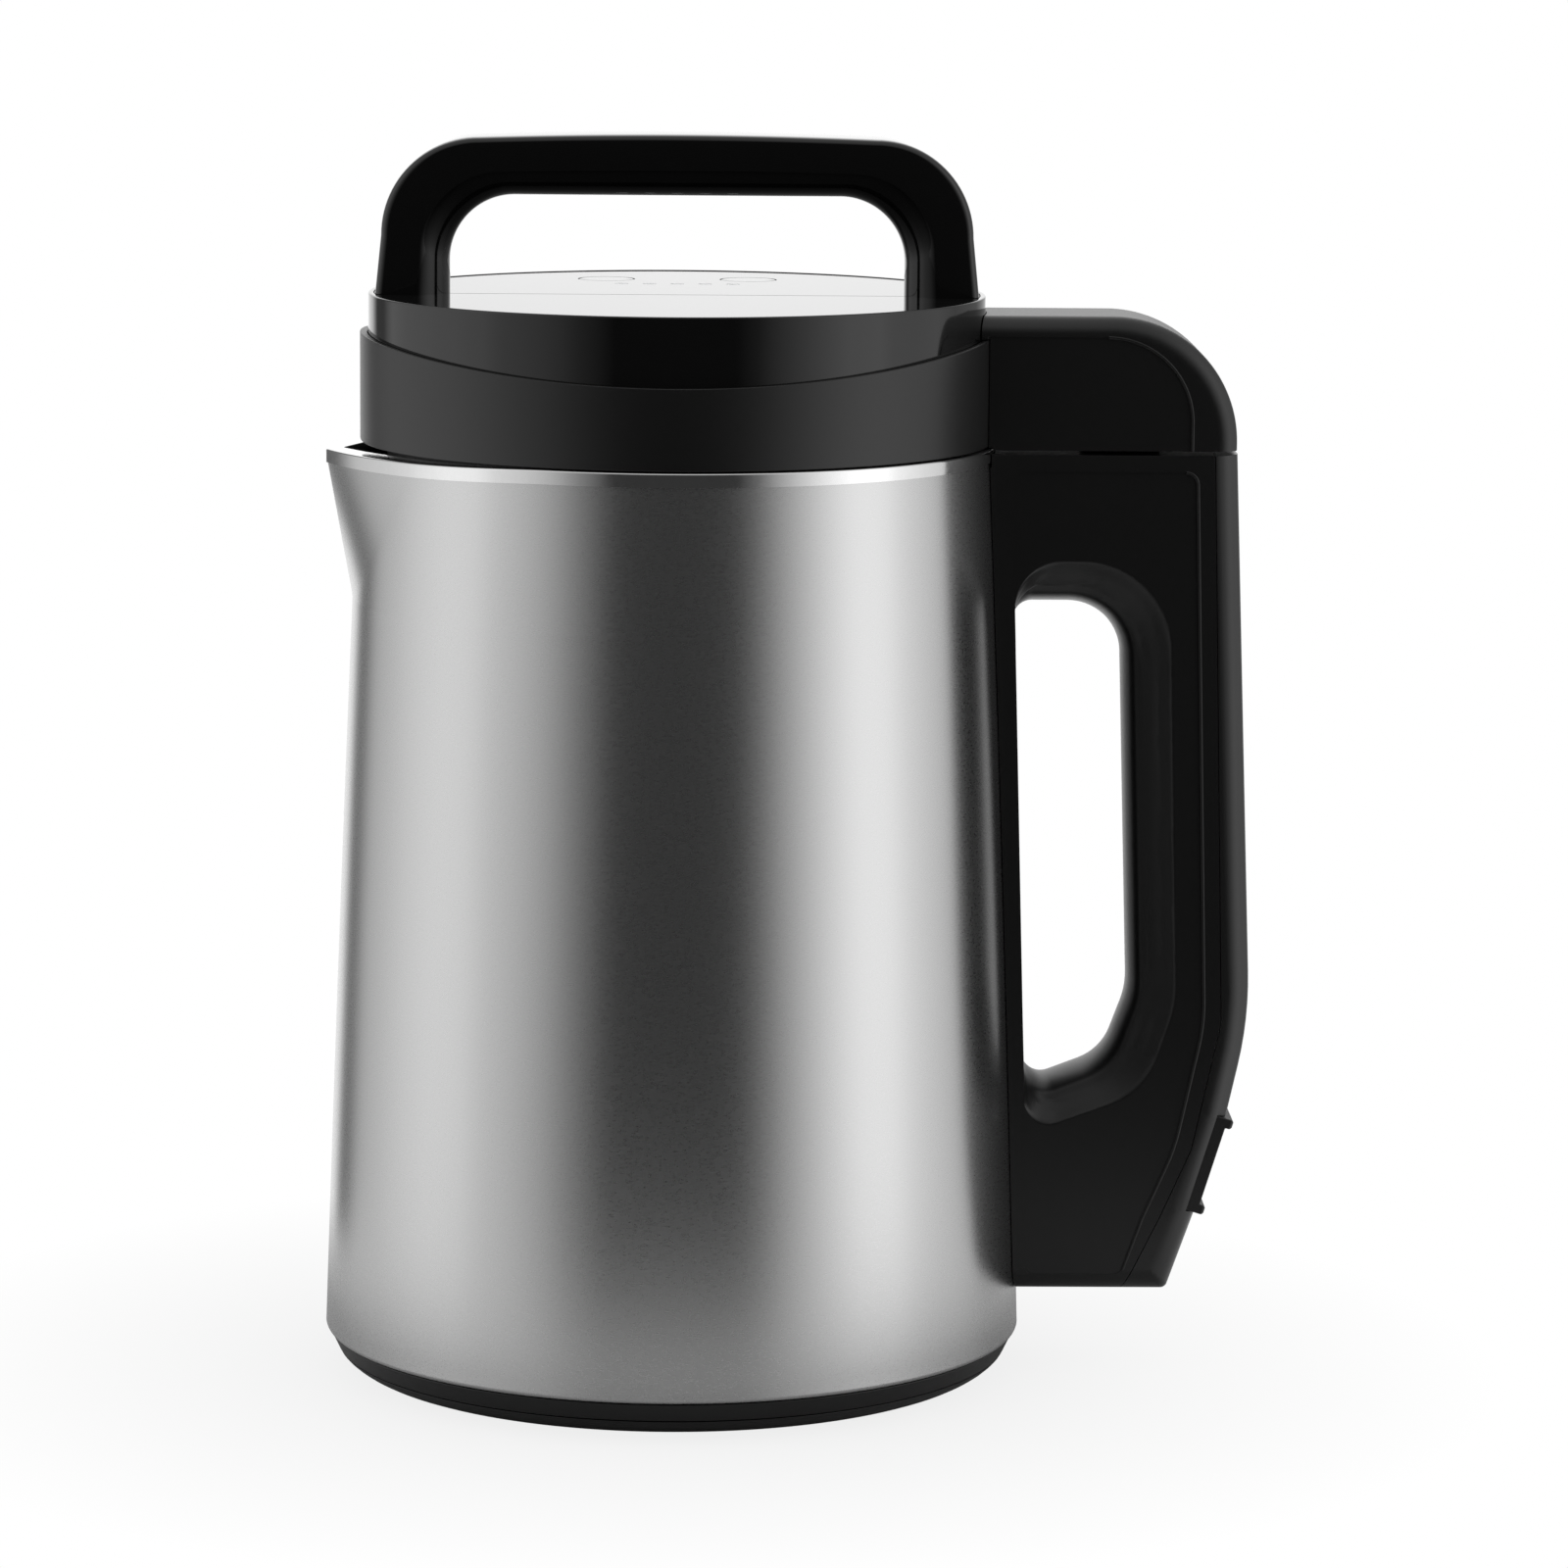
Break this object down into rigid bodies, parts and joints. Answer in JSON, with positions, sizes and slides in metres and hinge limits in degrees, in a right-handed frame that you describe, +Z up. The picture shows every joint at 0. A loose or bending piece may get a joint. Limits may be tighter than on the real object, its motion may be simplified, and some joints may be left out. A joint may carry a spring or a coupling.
{
  "type": "soup maker",
  "caption": "Jug soup maker: tapered steel jug with spout, heater and side handle, under a lift-off motor lid with bow handle, coupler, control panel and blender blade.",
  "frame": {"origin": "on the jug's axis, in the plane that its feet stand on", "axes": "+Z up along the jug's axis, +X towards the jug handle, -X towards the spout, +Y towards the control panel"},
  "size_m": [0.2307, 0.1746, 0.3093],
  "materials": {
    "satin_steel": "satin, drawn steel with soft vertical reflections",
    "polished_steel": "polished steel",
    "matt_plastic": "fine matt moulded plastic",
    "handle_trim": "satin moulded plastic",
    "gloss_black": "high gloss moulded plastic",
    "smoked_gloss": "gloss plastic plate",
    "button_plastic": "gloss moulded plastic",
    "clear_lens": "clear light pipe",
    "inlet_plastic": "matt heat-resistant plastic",
    "dark_plastic": "matt moulded plastic",
    "rubber": "soft rubber",
    "silicone": "grey silicone",
    "wire_sleeve": "silicone wire sleeve",
    "zinc_steel": "zinc plated steel",
    "grey_steel": "plain steel",
    "bearing_steel": "ground steel",
    "aluminium": "cast aluminium",
    "brass": "bright brass",
    "copper": "enamelled copper",
    "magnet": "dull pressed ceramic and carbon",
    "circuit_board": "coated fibre board"
  },
  "bodies": {
    "jug": {"outer_shell": "satin_steel", "inner_pot": "polished_steel", "pot_floor": "polished_steel", "base_ring": "matt_plastic", "base_cover": "matt_plastic", "rubber_feet": "rubber", "base_screws": "zinc_steel", "heater_plate": "aluminium", "heating_element": "grey_steel", "thermostat": "dark_plastic", "temperature_sensor": "aluminium", "thermal_fuse": "aluminium", "heater_bracket": "zinc_steel", "handle_body": "matt_plastic", "handle_cover": "handle_trim", "handle_brackets": "zinc_steel", "handle_fixings": "zinc_steel", "mains_inlet": "inlet_plastic", "inlet_pins": "brass", "connector_socket": "inlet_plastic", "socket_contacts": "brass", "jug_wiring": "wire_sleeve"},
    "lid": {"lid_collar": "matt_plastic", "lid_ring": "gloss_black", "top_plate": "smoked_gloss", "control_panel": "smoked_gloss", "indicator_lenses": "clear_lens", "lid_handle": "gloss_black", "lid_handle_screws": "zinc_steel", "lid_arm": "matt_plastic", "arm_base": "matt_plastic", "arm_screws": "zinc_steel", "plug_block": "inlet_plastic", "plug_pins": "brass", "lid_wiring": "wire_sleeve", "lid_cup": "matt_plastic", "column_hub": "matt_plastic", "lid_seal": "silicone", "lid_screws": "zinc_steel", "control_board": "circuit_board", "key_switches": "dark_plastic", "motor_can": "grey_steel", "motor_magnets": "magnet", "motor_end_cap": "dark_plastic", "carbon_brushes": "magnet", "upper_bearing": "bearing_steel", "lower_bearing": "bearing_steel", "column_tube": "polished_steel", "column_bush": "brass", "shaft_seal": "rubber", "overfill_probe": "polished_steel"},
    "rotor": {"motor_shaft": "bearing_steel", "rotor_core": "grey_steel", "rotor_winding": "copper", "commutator": "copper", "cooling_fan": "dark_plastic", "blade": "polished_steel", "blade_nut": "polished_steel"},
    "start_button": {"start_button": "button_plastic"},
    "mode_button": {"mode_button": "button_plastic"}
  },
  "joints": [
    {"name": "lid_lift", "type": "slide", "parent": "jug", "child": "lid", "axis": [0, 0, 1], "range_m": [0, 0.2]},
    {"name": "rotor_spin", "type": "hinge", "parent": "lid", "child": "rotor", "pos_m": [0, 0, 0.23], "axis": [0, 0, 1], "continuous": true},
    {"name": "start_press", "type": "slide", "parent": "lid", "child": "start_button", "axis": [0, 0, -1], "range_m": [0, 0.0008], "stiffness_N_per_m": 600},
    {"name": "mode_press", "type": "slide", "parent": "lid", "child": "mode_button", "axis": [0, 0, -1], "range_m": [0, 0.0008], "stiffness_N_per_m": 600}
  ]
}
